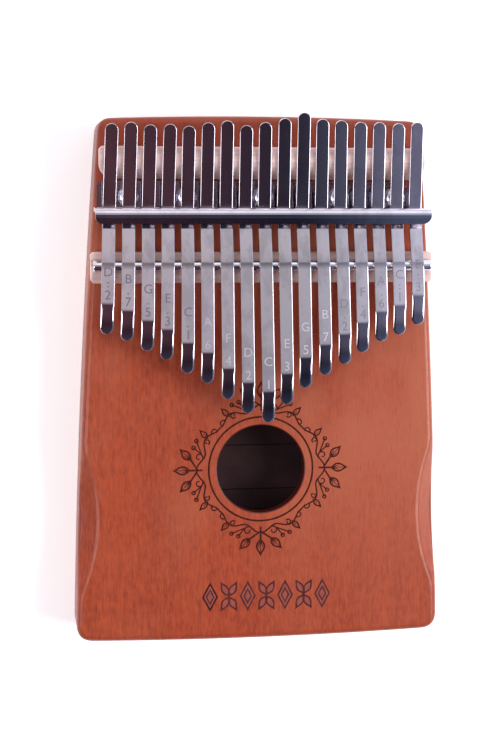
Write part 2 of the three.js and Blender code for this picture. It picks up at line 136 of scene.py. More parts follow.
# Left to right: the note's letter, its number, how many octave dots, and the strip's lean in degrees.
NOTES = [
    ("D", 2, 2, 1.9), ("B", 7, 1, 1.5), ("G", 5, 1, 1.2), ("E", 3, 1, 1.2),
    ("C", 1, 1, 0.7), ("A", 6, 0, 0.5), ("F", 4, 0, 0.1), ("D", 2, 0, -0.1),
    ("C", 1, 0, -0.4), ("E", 3, 0, -0.3), ("G", 5, 0, -0.3), ("B", 7, 0, -0.7),
    ("D", 2, 1, -1.0), ("F", 4, 1, -0.8), ("A", 6, 1, -0.9), ("C", 1, 2, -0.7), ("E", 3, 2, -0.8),
]


# ---- Camera ----

def make_camera():
    """A camera above the face, a little to the left of it and below its middle."""
    target, distance = Vector((-4.03, 2.19, 23)) * MM, 545.4 * MM
    yaw, pitch, roll = (math.radians(angle) for angle in (8.913, 6.433, 0.192))
    back = Vector((-math.sin(yaw) * math.cos(pitch), math.sin(pitch), math.cos(yaw) * math.cos(pitch)))
    level = Vector((0, 1, 0)).cross(back).normalized()
    right = Matrix.Rotation(roll, 3, back) @ level
    up = back.cross(right)
    data = bpy.data.cameras.new("camera")
    data.lens = 74.18
    camera = bpy.data.objects.new("camera", data)
    place = target + distance * back
    camera.matrix_world = Matrix.Translation(place) @ Matrix((right, up, back)).transposed().to_4x4()
    bpy.context.scene.collection.objects.link(camera)
    bpy.context.scene.camera = camera


# ---- Small tools ----

def lerp(a, b, t):
    """The value a share t of the way from a to b."""
    return a + (b - a) * t


def clamp(value):
    return max(0.0, min(1.0, value))


def solid(name, shape, materials, sharp=40):
    """An object from points and faces, welded, and shaded smooth up to the given angle."""
    points, faces = shape
    mesh = bpy.data.meshes.new(name)
    mesh.from_pydata([tuple(p) for p in points], [], faces)
    clean = bmesh.new()
    clean.from_mesh(mesh)
    bmesh.ops.remove_doubles(clean, verts=clean.verts, dist=1e-7)
    bmesh.ops.recalc_face_normals(clean, faces=clean.faces)
    clean.to_mesh(mesh)
    clean.free()
    made = bpy.data.objects.new(name, mesh)
    bpy.context.scene.collection.objects.link(made)
    for material in materials:
        mesh.materials.append(material)
    mesh.shade_smooth()
    mesh.set_sharp_from_angle(angle=math.radians(sharp))
    return made


def smooth(value, low, high):
    """0 at low and 1 at high, with a soft start and end."""
    t = clamp((value - low) / (high - low))
    return t * t * (3 - 2 * t)


def loft(rings):
    """Points and quads through closed rings of equal length."""
    count = len(rings[0])
    points = [p for ring in rings for p in ring]
    faces = []
    for level in range(len(rings) - 1):
        for i in range(count):
            a = level * count + i
            b = level * count + (i + 1) % count
            faces.append((a, b, b + count, a + count))
    return points, faces


def capped(rings):
    """Points and faces of a closed solid through closed rings, with flat ends."""
    points, faces = loft(rings)
    count = len(rings[0])
    return points, faces + [tuple(range(count)), tuple(range(len(points) - count, len(points)))]


def add_shape(points, faces, more):
    """Adds another shape's points and faces to these lists."""
    start = len(points)
    points += more[0]
    faces += [tuple(start + i for i in face) for face in more[1]]


def plate(shells):
    """A closed solid from walls: the outer one first, then one for each hole, each from top to bottom."""
    points, faces, tops, bottoms = [], [], [], []
    for rings in shells:
        start, count = len(points), len(rings[0])
        add_shape(points, faces, loft(rings))
        tops.append(list(range(start, start + count)))
        bottoms.append(list(range(len(points) - count, len(points))))
    for loops in (tops, bottoms):
        order = [i for loop in loops for i in loop]
        flat = [[Vector((points[i][0], points[i][1], 0)) for i in loop] for loop in loops]
        faces += [tuple(order[i] for i in triangle) for triangle in tessellate_polygon(flat)]
    return points, faces


def turns(count):
    """The angles of count points round a circle, in radians."""
    return [2 * math.pi * i / count for i in range(count)]


def quarter(steps):
    """Evenly spaced angles from 0 to a right angle, in radians."""
    return [i / steps * math.pi / 2 for i in range(steps + 1)]


def circle(x, y, z, radius, count):
    return [Vector((x + radius * math.cos(a), y + radius * math.sin(a), z)) for a in turns(count)]


def curve(start, corner, end, steps):
    """Points on a curve that leaves start and reaches end, both pointing at corner."""
    shares = [k / steps for k in range(steps + 1)]
    return [start * (1 - t) ** 2 + corner * 2 * t * (1 - t) + end * t * t for t in shares]


# ---- Materials ----

class Finish:
    """A material around one Principled shader, with short calls for its nodes."""

    def __init__(self, name, **uniform):
        self.material = bpy.data.materials.new(name)
        self.material.use_nodes = True
        self.tree = self.material.node_tree
        self.shader = self.tree.nodes["Principled BSDF"]
        for socket, value in uniform.items():
            self.shader.inputs[socket.replace("_", " ")].default_value = value
        self.place = self.add("ShaderNodeTexCoord").outputs["Object"]

    def add(self, kind, inputs=None, **settings):
        made = self.tree.nodes.new(kind)
        for key, value in settings.items():
            setattr(made, key, value)
        for key, value in (inputs or {}).items():
            socket = made.inputs[key]
            if isinstance(value, bpy.types.NodeSocket):
                self.tree.links.new(value, socket)
            else:
                socket.default_value = value
        return made

    def scaled(self, x, y, z, source=None):
        """The row frame's coordinates, each multiplied by its own factor."""
        vector = source or self.place
        return self.add("ShaderNodeMapping", {"Vector": vector, "Scale": (x, y, z)}).outputs["Vector"]

    def noise(self, vector, detail=3.0, roughness=0.5, distortion=0.0):
        inputs = {"Vector": vector, "Scale": 1.0, "Detail": detail, "Roughness": roughness}
        inputs["Distortion"] = distortion
        return self.add("ShaderNodeTexNoise", inputs).outputs["Fac"]

    def ramp(self, value, low, high, to_low=0.0, to_high=1.0):
        inputs = {"Value": value, "From Min": low, "From Max": high, "To Min": to_low, "To Max": to_high}
        return self.add("ShaderNodeMapRange", inputs, interpolation_type="SMOOTHSTEP").outputs["Result"]

    def math(self, operation, a, b):
        return self.add("ShaderNodeMath", {0: a, 1: b}, operation=operation).outputs[0]

    def weighted(self, *terms):
        """The sum of values, each multiplied by its own factor."""
        total, *others = [self.math("MULTIPLY", value, factor) for value, factor in terms]
        for other in others:
            total = self.math("ADD", total, other)
        return total

    def mix(self, factor, a, b):
        return self.add("ShaderNodeMix", {0: factor, 6: a, 7: b}, data_type="RGBA").outputs[2]

    def axis(self, name):
        return self.add("ShaderNodeSeparateXYZ", {"Vector": self.place}).outputs[name]

    def set(self, socket, value):
        self.tree.links.new(value, self.shader.inputs[socket])

    def bump(self, height, strength, distance):
        made = self.add("ShaderNodeBump", {"Height": height, "Strength": strength, "Distance": distance})
        self.set("Normal", made.outputs["Normal"])


def rgb(red, green, blue):
    """A linear colour from one given in 8-bit sRGB."""
    def channel(value):
        value /= 255
        return value / 12.92 if value <= 0.04045 else ((value + 0.055) / 1.055) ** 2.4
    return (channel(red), channel(green), channel(blue), 1)


def make_mahogany(name, light, tan, dark, roughness=0.42, scorched_hole=False):
    """Stained wood with its grain along Y, and if asked a scorched rim round the sound hole."""
    wood = Finish(name, Coat_Weight=0.32, Coat_Roughness=0.17, Specular_IOR_Level=0.15)
    fibres = wood.noise(wood.scaled(1000, 55, 700), roughness=0.6)
    flecks = wood.noise(wood.scaled(1400, 270, 900), detail=2, roughness=0.6)
    mottle = wood.noise(wood.scaled(430, 300, 300), roughness=0.55)
    bands = wood.noise(wood.scaled(110, 8, 60), distortion=0.4)
    patches = wood.noise(wood.scaled(26, 17, 20))
    pores = wood.ramp(wood.noise(wood.scaled(4200, 210, 2100), detail=1), 0.6, 0.72)
    tone = wood.weighted((fibres, 0.22), (flecks, 0.34), (mottle, 0.28), (bands, 0.16))
    colour = wood.mix(wood.ramp(tone, 0.3, 0.64), dark, light)
    # The stain is lighter and browner in the middle, and redder at the bottom.
    pale = wood.math("MULTIPLY", wood.ramp(patches, 0.36, 0.66, 0.12, 0.95),
                     wood.ramp(wood.axis("Y"), -80 * MM, -5 * MM, 0.3, 1.0))
    colour = wood.mix(pale, colour, tan)
    colour = wood.mix(wood.math("MULTIPLY", pores, 0.35), colour, dark)
    # Painted shade: the wood is painted darker towards the head, where the tails and the bracket shade it.
    head = wood.ramp(wood.axis("Y"), 35 * MM, 85 * MM, 0.0, 0.55)
    colour = wood.mix(head, colour, dark)
    if scorched_hole:
        offset = wood.add("ShaderNodeVectorMath", {0: wood.place, 1: tuple(HOLE)}, operation="SUBTRACT")
        flat = wood.scaled(1, 1, 0, offset.outputs["Vector"])
        radius = wood.add("ShaderNodeVectorMath", {0: flat}, operation="LENGTH").outputs["Value"]
        burn = wood.ramp(radius, HOLE_RADIUS + 0.2 * MM, HOLE_RADIUS + 0.7 * MM, 1.0, 0.0)
        colour = wood.mix(burn, colour, rgb(84, 30, 24))
    wood.set("Base Color", colour)
    wood.set("Roughness", wood.ramp(tone, 0.3, 0.7, roughness + 0.08, roughness - 0.05))
    relief = wood.math("SUBTRACT", wood.math("MULTIPLY", fibres, 0.35), pores)
    wood.bump(relief, 0.35, 0.00012)
    return wood.material


def make_maple(name):
    """Pale wood with its grain along X."""
    wood = Finish(name, Specular_IOR_Level=0.3)
    fibres = wood.noise(wood.scaled(45, 1900, 1900), detail=4, roughness=0.6)
    bands = wood.noise(wood.scaled(9, 300, 300), detail=2, distortion=0.5)
    tone = wood.weighted((bands, 0.6), (fibres, 0.4))
    colour = wood.mix(wood.ramp(tone, 0.3, 0.7), rgb(222, 184, 172), rgb(250, 226, 220))
    wood.set("Base Color", colour)
    wood.set("Roughness", wood.ramp(fibres, 0.3, 0.7, 0.5, 0.4))
    wood.bump(fibres, 0.2, 0.00008)
    return wood.material


def make_steel(name, colour, roughness, scratches):
    """Polished metal with faint lengthwise polishing lines and handling marks."""
    steel = Finish(name, Metallic=1.0)
    lines = steel.noise(steel.scaled(9000, 60, 9000), roughness=0.7)
    smears = steel.noise(steel.scaled(160, 90, 160), roughness=0.6)
    dull = tuple(0.84 * channel for channel in colour[:3]) + (1,)
    steel.set("Base Color", steel.mix(steel.ramp(smears, 0.42, 0.66), colour, dull))
    steel.set("Roughness", steel.math("ADD", steel.ramp(smears, 0.3, 0.75, roughness, roughness + 0.05),
                                      steel.math("MULTIPLY", lines, scratches)))
    steel.bump(lines, scratches, 0.00001)
    return steel.material


def make_mark_steel(name, bright, worn_and_painted_shade):
    """The rough steel of the stamped marks, with painted light and shade: painted bright on the middle
    tines and dark on the outer ones.
    """
    steel = Finish(name, Metallic=1.0, Roughness=0.4)
    # Painted shade: marks more than about 21 mm from the middle are painted darker.
    outer = steel.ramp(steel.math("ABSOLUTE", steel.axis("X"), 0), 21 * MM, 26 * MM)
    steel.set("Base Color", steel.mix(outer, bright, worn_and_painted_shade))
    return steel.material


def make_burnt(name, deep, shallow):
    """Wood charred by the engraving laser: dark where the burn is deep, brown where it is shallow."""
    burnt = Finish(name, Specular_IOR_Level=0.2)
    depth = burnt.noise(burnt.scaled(1500, 700, 1500))
    burnt.set("Base Color", burnt.mix(burnt.ramp(depth, 0.35, 0.7), deep, shallow))
    burnt.set("Roughness", burnt.ramp(depth, 0.3, 0.7, 0.75, 0.95))
    burnt.bump(depth, 0.4, 0.0001)
    return burnt.material


def make_paper(name, pale, dark):
    """Matt paper or ink with faint blots."""
    paper = Finish(name, Specular_IOR_Level=0.25)
    fibres = paper.noise(paper.scaled(1400, 1100, 900), detail=4)
    blots = paper.noise(paper.scaled(60, 80, 60), detail=2)
    paper.set("Base Color", paper.mix(paper.ramp(blots, 0.3, 0.75), pale, dark))
    paper.set("Roughness", paper.ramp(fibres, 0.3, 0.7, 0.8, 0.95))
    paper.bump(fibres, 0.25, 0.00005)
    return paper.material


MAHOGANY = make_mahogany(
    "face_mahogany", rgb(178, 77, 46), rgb(181, 99, 71), rgb(132, 47, 30), scorched_hole=True
)
SIDE_MAHOGANY = make_mahogany("side_mahogany", rgb(164, 72, 50), rgb(160, 80, 60), rgb(112, 42, 32), 0.5)
BACK_MAHOGANY = make_mahogany("back_mahogany", rgb(176, 80, 52), rgb(176, 94, 68), rgb(130, 48, 33), 0.46)
MAPLE = make_maple("bridge_maple")
ROD_CHROME = make_steel("rod_chrome", (0.78, 0.78, 0.82, 1), 0.06, 0.02)
BRACKET_CHROME = make_steel("bracket_chrome", (0.74, 0.72, 0.80, 1), 0.05, 0.03)
SCREW_STEEL = make_steel("screw_steel", (0.70, 0.73, 0.84, 1), 0.16, 0.04)
TINE_STEEL = make_steel("tine_steel", (0.75, 0.71, 0.77, 1), 0.03, 0.04)
MARK_STEEL = make_mark_steel("engraved_steel_painted_shade", (0.62, 0.60, 0.65, 1), (0.26, 0.24, 0.28, 1))
BURNT = make_burnt("burnt_engraving", rgb(44, 14, 10), rgb(88, 32, 22))
BURNT_PALE = make_burnt("burnt_border", rgb(70, 28, 28), rgb(104, 46, 44))
SCORCHED = make_burnt("scorched_wood", rgb(140, 72, 62), rgb(158, 84, 70))
LABEL_PAPER = make_paper("label_paper", rgb(64, 42, 43), rgb(48, 31, 32))
LABEL_INK = make_paper("label_ink", rgb(20, 14, 14), rgb(14, 10, 10))


# ---- Body ----

def half_width_at(distance):
    """Half the body's width at a distance from its bottom edge."""
    t = distance / BODY_LENGTH
    return lerp(BOTTOM_WIDTH, TOP_WIDTH, t) / 2 + 4 * SIDE_BOW * t * (1 - t)


def bowed_edge(start, end, bow, steps):
    """One edge of the body's plan, bowed outwards and trimmed where its corners begin."""
    along = end - start
    outward = Vector((along.y, -along.x)).normalized()
    reaches = [BOTTOM_CORNER_REACH if corner.y < 0 else TOP_CORNER_REACH for corner in (start, end)]
    first, last = (reach / along.length for reach in reaches)
    points = []
    for i in range(steps + 1):
        t = lerp(first, 1 - last, i / steps)
        points.append(start + along * t + outward * (4 * bow * t * (1 - t)))
    return points


def body_outline():
    """The body's plan, anticlockwise, as (point, outward normal) pairs."""
    low = BOTTOM_EDGE + END_BOW
    high = BOTTOM_EDGE + BODY_LENGTH - END_BOW
    corners = [
        Vector((-BOTTOM_WIDTH / 2, low)), Vector((BOTTOM_WIDTH / 2, low)),
        Vector((TOP_WIDTH / 2, high)), Vector((-TOP_WIDTH / 2, high)),
    ]
    edges = []
    for i, corner in enumerate(corners):
        bow, steps = (SIDE_BOW, 110) if i % 2 else (END_BOW, 40)
        edges.append(bowed_edge(corner, corners[(i + 1) % 4], bow, steps))
    outline = []
    for i, edge in enumerate(edges):
        corner, after = corners[(i + 1) % 4], edges[(i + 1) % 4][0]
        outline += edge + curve(edge[-1], corner, after, 12)[1:-1]
    pairs = []
    for i, point in enumerate(outline):
        along = outline[(i + 1) % len(outline)] - outline[i - 1]
        normal = Vector((along.y, -along.x)).normalized()
        pairs.append((point - normal * SKIN_INSET, normal))
    return pairs


OUTLINE = body_outline()


def scoop_depth(point, normal):
    """How deep the palm scoop cuts at this place on the outline, measured square to its slope."""
    reach = point.y - SCOOP_MIDDLE
    on_side = abs(normal.x) > 0.9 and abs(reach) < SCOOP_RADIUS / 2
    return SCOOP_DEPTH - SCOOP_RADIUS + math.sqrt(SCOOP_RADIUS ** 2 - reach ** 2) if on_side else -1.0


def cut_point(depth, centre, target):
    """Where the way from centre to target, both (inset, drop), leaves the wood once the scoop is cut."""
    low, high = 0.0, 1.0
    length = math.dist(centre, target)
    for _ in range(24):
        share = (low + high) / 2
        inset, drop = (lerp(c, t, share) for c, t in zip(centre, target))
        skin = (share - 1) * length
        scoop = depth - inset * math.sin(SCOOP_SLOPE) - drop * math.cos(SCOOP_SLOPE)
        # The larger of the two distances is taken, and the crease between them is rounded.
        overlap = max(SCOOP_SOFTNESS - abs(skin - scoop), 0) / SCOOP_SOFTNESS
        outside = max(skin, scoop) + overlap * overlap * SCOOP_SOFTNESS / 4 * (scoop > -5 * MM)
        low, high = (low, share) if outside > 0 else (share, high)
    return lerp(centre[0], target[0], low), lerp(centre[1], target[1], low)


def skin_drop(inset):
    """How far the rounded front edge lies below the face at this inset."""
    return EDGE_ROUND - math.sqrt(EDGE_ROUND ** 2 - max(EDGE_ROUND - inset, 0) ** 2)


def front_targets(thickness, extra):
    """Points on the face, its edge and the side, as (inset, drop). A scoop reaches extra inwards."""
    targets = [(lerp(PROFILE_INSET, EDGE_ROUND, t) + extra, 0.0) for t in (0.0, 0.5)]
    steps = 14
    for i, angle in enumerate(quarter(steps)):
        inset = EDGE_ROUND * (1 - math.sin(angle)) + extra * (1 - (i / steps) ** 2)
        targets.append((inset, skin_drop(inset)))
    targets += [(0.0, lerp(EDGE_ROUND, thickness - SEAM, t)) for t in (0.35, 0.7, 1.0)]
    return targets


def outline_ring(place):
    """One ring round the body. place gives (inset, height) from a point and its normal."""
    ring = []
    for point, normal in OUTLINE:
        inset, height = place(point, normal)
        ring.append(Vector((*(point - normal * inset), height)))
    return ring


def hole_rings(x, y, radius, top, bottom, count):
    """A round hole's wall from top to bottom, with softened rims."""
    soft = 0.45 * MM
    rings = [circle(x, y, top, radius + 2 * soft, count)]
    for angle in quarter(4):
        height = top - soft * (1 - math.cos(angle))
        rings.append(circle(x, y, height, radius + soft * (1 - math.sin(angle)), count))
    rings.append(circle(x, y, bottom, radius, count))
    return rings


def make_soundboard():
    """The front layer: a rounded front edge, the palm scoops and the sound hole."""
    thickness = FACE - CORE_TOP
    rings = []
    for level in range(len(front_targets(thickness, 0))):
        def place(point, normal):
            depth = scoop_depth(point, normal)
            extra = max(depth, 0) / math.sin(SCOOP_SLOPE)
            centre = (PROFILE_INSET + extra, thickness - SEAM)
            target = front_targets(thickness, extra)[level]
            inset, drop = cut_point(depth, centre, target) if depth > 0 else target
            return inset, FACE - drop
        rings.append(outline_ring(place))
    rings.append([Vector((*(p.xy - n * SEAM), CORE_TOP)) for p, (_, n) in zip(rings[-1], OUTLINE)])
    shells = [rings, hole_rings(HOLE.x, HOLE.y, HOLE_RADIUS, FACE, CORE_TOP, 128)]
    board = solid("soundboard_wood", plate(shells), [MAHOGANY])
    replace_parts(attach(board, "soundbox"), "soundboard")


def chamber_ring(height):
    """The chamber's plan: straight walls joined by curved corners."""
    low = BOTTOM_EDGE + CHAMBER["bottom"]
    high = BOTTOM_EDGE + CHAMBER["top"]
    low_half = half_width_at(CHAMBER["bottom"]) - CHAMBER["wall"]
    high_half = half_width_at(CHAMBER["top"]) - CHAMBER["wall"]
    corners = [Vector((-low_half, low)), Vector((low_half, low))]
    corners += [Vector((high_half, high)), Vector((-high_half, high))]
    ring = []
    for i, corner in enumerate(corners):
        before = corner + (corners[i - 1] - corner).normalized() * CHAMBER["corner"]
        after = corner + (corners[(i + 1) % 4] - corner).normalized() * CHAMBER["corner"]
        ring += [Vector((*point, height)) for point in curve(before, corner, after, 10)]
    return ring


def make_body_core():
    """The middle layer: the walls and the solid head round the sound chamber."""
    def ring_at(height, seam=0.0):
        def place(point, normal):
            depth = scoop_depth(point, normal)
            drop = FACE - height
            if depth <= 0:
                return seam, height
            reach = PROFILE_INSET + depth / math.sin(SCOOP_SLOPE)
            inset, _ = cut_point(depth, (reach, drop), (0.0, drop))
            return inset + seam, height
        return outline_ring(place)
    rings = [ring_at(CORE_TOP, SEAM), ring_at(CORE_TOP - SEAM)]
    rings += [ring_at(CORE_TOP - step * MM) for step in (0.4, 0.7, 1.0, 1.3, 1.7, 2.4)]
    rings += [ring_at(CORE_LOW + SEAM), ring_at(CORE_LOW, SEAM)]
    shells = [rings, [chamber_ring(CORE_TOP), chamber_ring(CORE_LOW)]]
    core = solid("core_wood", plate(shells), [SIDE_MAHOGANY])
    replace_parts(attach(core, "soundbox"), "body_core")


def make_back_board():
    """The back layer, with a rounded back edge and two vibrato holes."""
    levels = [(SEAM, CORE_LOW), (0.0, CORE_LOW - SEAM)]
    levels += [(EDGE_ROUND * (1 - math.cos(a)), EDGE_ROUND * (1 - math.sin(a))) for a in quarter(10)]
    levels.append((PROFILE_INSET, 0.0))
    rings = [outline_ring(lambda *_: level) for level in levels]
    holes = []
    for side in (-1, 1):
        # Each hole is drawn upside down, because its softened rim is on the underside.
        hole = hole_rings(side * VIBRATO_X, VIBRATO_Y, VIBRATO_RADIUS, 0, -CORE_LOW, 48)[::-1]
        for point in (point for ring in hole for point in ring):
            point.z = -point.z
        holes.append(hole)
    board = solid("back_wood", plate([rings, *holes]), [BACK_MAHOGANY])
    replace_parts(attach(board, "soundbox"), "back_board")


# ---- Engraving ----

LINE = 0.52 * MM
STROKE_RISE = 0.02 * MM
STROKE_STEP = 0.0003 * MM
STROKE_DEPTH = 0.15 * MM
WREATH_RADIUS = 18.7 * MM


class Strokes:
    """Burnt lines and shapes, collected as thin closed prisms in the face and made into one piece."""

    def __init__(self):
        self.points = []
        self.faces = []
        self.count = 0

    def heights(self):
        """The top and bottom of the next stroke. No two tops share a level, so crossings stay clean."""
        self.count += 1
        return FACE + STROKE_RISE + STROKE_STEP * self.count, FACE - STROKE_DEPTH

    def strip(self, left, right, closed):
        """A prism between two sides of equal length."""
        start, size = len(self.points), len(left)
        for height in self.heights():
            self.points += [Vector((*p, height)) for p in [*left, *right]]
        for i in range(size if closed else size - 1):
            j = (i + 1) % size
            corners = (start + i, start + j, start + size + j, start + size + i)
            below = tuple(c + 2 * size for c in corners)
            self.faces += [corners, below]
            self.faces += [(corners[a], corners[b], below[b], below[a]) for a, b in ((0, 1), (2, 3))]
        if not closed:
            for end in (start, start + size - 1):
                self.faces.append((end, end + size, end + 3 * size, end + 2 * size))

    def prism(self, outline):
        """A filled shape."""
        rings = [[Vector((*p, height)) for p in outline] for height in self.heights()]
        add_shape(self.points, self.faces, capped(rings))

    def line(self, path, width, taper=0.0):
        """A line along plan points, narrowing to its far end by the share taper."""
        sides = ([], [])
        for i, point in enumerate(path):
            along = path[min(i + 1, len(path) - 1)] - path[max(i - 1, 0)]
            across = Vector((along.y, -along.x)).normalized()
            half = width / 2 * (1 - taper * i / (len(path) - 1))
            sides[0].append(point + across * half)
            sides[1].append(point - across * half)
        self.strip(*sides, closed=False)

    def loop(self, path, width):
        """A closed line round plan points, mitred at its corners."""
        sides = ([], [])
        for i, point in enumerate(path):
            before = (point - path[i - 1]).normalized()
            after = (path[(i + 1) % len(path)] - point).normalized()
            along = (before + after).normalized()
            reach = width / 2 / max(along.dot(after), 0.4)
            across = Vector((along.y, -along.x)) * reach
            sides[0].append(point + across)
            sides[1].append(point - across)
        self.strip(*sides, closed=True)

    def piece(self, name, material):
        made = solid(name, (self.points, self.faces), [material], sharp=20)
        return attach(made, "soundbox")


def polar(radius, degrees):
    angle = math.radians(degrees)
    return Vector((HOLE.x + radius * math.cos(angle), HOLE.y + radius * math.sin(angle)))


def ring_path(middle, radius, count):
    return [middle + Vector((math.cos(a), math.sin(a))) * radius for a in turns(count)]


def leaf(base, tip, width):
    """The outline of a pointed leaf from base to tip."""
    along = tip - base
    across = Vector((-along.y, along.x)).normalized() * width / 2
    right, left = [], []
    steps = 10
    for i in range(steps + 1):
        t = i / steps
        bulge = math.sin(math.pi * t ** 0.85) ** 1.2
        right.append(base + along * t - across * bulge)
        left.append(base + along * t + across * bulge)
    return right + left[-2:0:-1]


def curl(start, heading, radius, turn, sweep=400):
    """A spiral that winds in from start. turn is 1 to wind anticlockwise and -1 clockwise."""
    path = []
    place, angle = start.copy(), math.radians(heading)
    steps = 26
    for i in range(steps):
        path.append(place.copy())
        left = 1 - 0.72 * i / steps
        step = math.radians(sweep) * radius * left / steps
        place = place + Vector((math.cos(angle), math.sin(angle))) * step
        angle += turn * math.radians(sweep) / steps
    return path


def bud(strokes, base, tip, width):
    """An outlined bud with a short vein."""
    strokes.loop(leaf(base, tip, width), LINE)
    strokes.line([base.lerp(tip, 0.1 + 0.06 * i) for i in range(9)], 0.7 * LINE, 0.5)


def wreath_eighth(strokes, middle, side):
    """The wreath from one leaf cluster, at the angle middle, to half way to the next, mirrored by side."""
    def at(radius, degrees):
        return polar(radius * MM, middle + side * degrees)

    def heading(degrees, outward):
        """A direction along the ring, away from the cluster, turned outward by an angle."""
        return middle + side * (degrees + 90 - outward)
    stem = []
    for i in range(41):
        t = i / 40
        wave = 1.2 * math.sin(t * 3 * math.pi + 2.0) * (1 - 0.25 * t)
        stem.append(at(21.8 + wave, 2.5 + 42.5 * t))
    strokes.line(stem, LINE)
    for degrees, radius, outward, size in ((8, 21.9, -50, 1.6), (26, 20.9, -15, 1.05)):
        spiral = curl(at(radius, degrees), heading(degrees, outward), size * MM, -side)
        strokes.line(spiral, 0.95 * LINE, 0.25)
    strokes.line(curl(at(21.6, 36), heading(36, 65), 1.35 * MM, side, 290), 0.95 * LINE, 0.25)
    for twig in (18.5, 24.5):
        tip = at(25.4, twig)
        strokes.line([at(22.0, 15).lerp(tip, i / 8) for i in range(9)], 0.85 * LINE)
        strokes.loop(ring_path(tip, 0.6 * MM, 14), 0.85 * LINE)
    bud(strokes, at(22.3, 31), at(25.9, 33), 1.7 * MM)


def leaf_cluster(strokes, middle):
    """Three pointed leaves on short stalks, which point away from the sound hole."""
    base = polar(22.6 * MM, middle)
    leaves = ((0, 25.6, 31, 2.8), (14.5, 25.4, 29.6, 2.6), (-14.5, 25.4, 29.6, 2.6))
    for spread, near, reach, width in leaves:
        tip, foot = polar(reach * MM, middle + spread), polar(near * MM, middle + spread * 0.6)
        strokes.loop(leaf(foot, tip, width * MM), 1.1 * LINE)
        for share in (-0.28, 0.28):
            side = foot.lerp(tip, 0.5) + (tip - foot).orthogonal() * share * 0.55
            strokes.line([foot.lerp(side, i / 6) for i in range(7)], 0.7 * LINE, 0.4)
        strokes.line([foot.lerp(tip, 0.85 * i / 9) for i in range(10)], 0.7 * LINE, 0.5)
        strokes.line([base.lerp(foot, i / 8) for i in range(9)], 1.2 * LINE)
    strokes.line([polar(lerp(20.9, 23.2, i / 8) * MM, middle) for i in range(9)], 1.2 * LINE)


def make_wreath():
    """A ring round the sound hole, with four leaf clusters and scrolled stems between them."""
    strokes = Strokes()
    ring = [polar(WREATH_RADIUS, i * 2.5) for i in range(144)]
    strokes.loop(ring, 1.25 * LINE)
    for quarter in range(4):
        leaf_cluster(strokes, quarter * 90)
        for side in (-1, 1):
            wreath_eighth(strokes, quarter * 90, side)
    strokes.piece("engraved_wreath", BURNT)


def make_border():
    """A row of outlined leaves and lozenges under the sound hole, each lightly shaded inside its line."""
    lines, shades = Strokes(), Strokes()
    middle = Vector((2.2 * MM, BOTTOM_EDGE + 16 * MM))
    motifs, spacing, half = 7, 6.8 * MM, 4.9 * MM

    def shape(outline):
        shades.prism(outline)
        lines.loop(outline, 1.15 * LINE)

    def lozenge(centre, wide, high):
        return [centre + Vector(place) for place in ((0, high), (wide, 0), (0, -high), (-wide, 0))]
    for i in range(motifs):
        centre = middle + Vector(((i - (motifs - 1) / 2) * spacing, 0))
        if i % 2:
            for way in (-1, 1):
                for lean in (-1, 1):
                    root = centre + Vector((lean * 0.3, way * 0.5)) * MM
                    shape(leaf(root, centre + Vector((lean * 2.7 * MM, way * half)), 2.3 * MM))
            lines.prism(ring_path(centre, 0.5 * MM, 12))
        else:
            shape(lozenge(centre, 2.6 * MM, half))
            lines.loop(lozenge(centre, 1.3 * MM, 2.5 * MM), LINE)
    shades.piece("engraved_border_shading", SCORCHED)
    lines.piece("engraved_border", BURNT_PALE)


# ---- Bridges and rod ----

def bridge(node, height_at, corners, soft):
    """A bar along X whose top follows height_at(y), with rounded corners (front, rear) and soft edges."""
    low, high = BOX[node]
    half = high.x
    front_corner, rear_corner = corners
    deepest = max(corners)
    xs = [half - deepest * (1 - math.cos(a)) for a in quarter(14)]
    xs += [lerp(half - deepest, 0, i / 10) for i in range(1, 11)]
    xs = sorted(set(xs + [-x for x in xs]))

    def pulled_in(x, corner):
        over = max(abs(x) - (half - corner), 0)
        return corner - math.sqrt(max(corner ** 2 - over ** 2, 0))
    shares = [0.5 - 0.5 * math.cos(i / 30 * math.pi) for i in range(31)]
    rings = []
    for x in xs:
        front, rear = low.y + pulled_in(x, front_corner), high.y - pulled_in(x, rear_corner)
        ring = [Vector((x, front, low.z))]
        for share in shares:
            y = lerp(front, rear, share)
            edge = clamp(min(y - front, rear - y, half - abs(x)) / soft)
            fall = soft * (1 - math.sqrt(1 - (1 - edge) ** 2))
            ring.append(Vector((x, y, height_at(y) - fall)))
        ring.append(Vector((x, rear, low.z)))
        rings.append(ring)
    return solid(f"{node}_maple", capped(rings), [MAPLE], sharp=50)


def make_rear_bridge():
    """The bridge under the tails: a ridge that falls away in a curve to the front and rear."""
    low, high = BOX["rear_bridge"]

    def height_at(y):
        if y < RIDGE_Y:
            t = (RIDGE_Y - y) / (RIDGE_Y - low.y)
            return RIDGE_TOP - (RIDGE_TOP - FACE - BRIDGE_FRONT_HEIGHT) * t * (0.35 + 0.65 * t)
        t = (y - RIDGE_Y) / (high.y - RIDGE_Y)
        return RIDGE_TOP - BRIDGE_REAR_FALL * t * t
    piece = bridge("rear_bridge", height_at, (5 * MM, 1.5 * MM), 0.7 * MM)
    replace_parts(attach(piece, "soundbox"), "rear_bridge")


def make_front_bridge():
    """The flat bridge whose groove holds the rod."""
    top = BOX["front_bridge"][1].z
    radius = (BOX["saddle_rod"][1].z - BOX["saddle_rod"][0].z) / 2 + GROOVE_GAP

    def height_at(y):
        return min(top, ROD_Z - math.sqrt(max(radius ** 2 - (y - ROD_Y) ** 2, 0)))
    piece = bridge("front_bridge", height_at, (1.5 * MM, 1.5 * MM), 0.6 * MM)
    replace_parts(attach(piece, "soundbox"), "front_bridge")


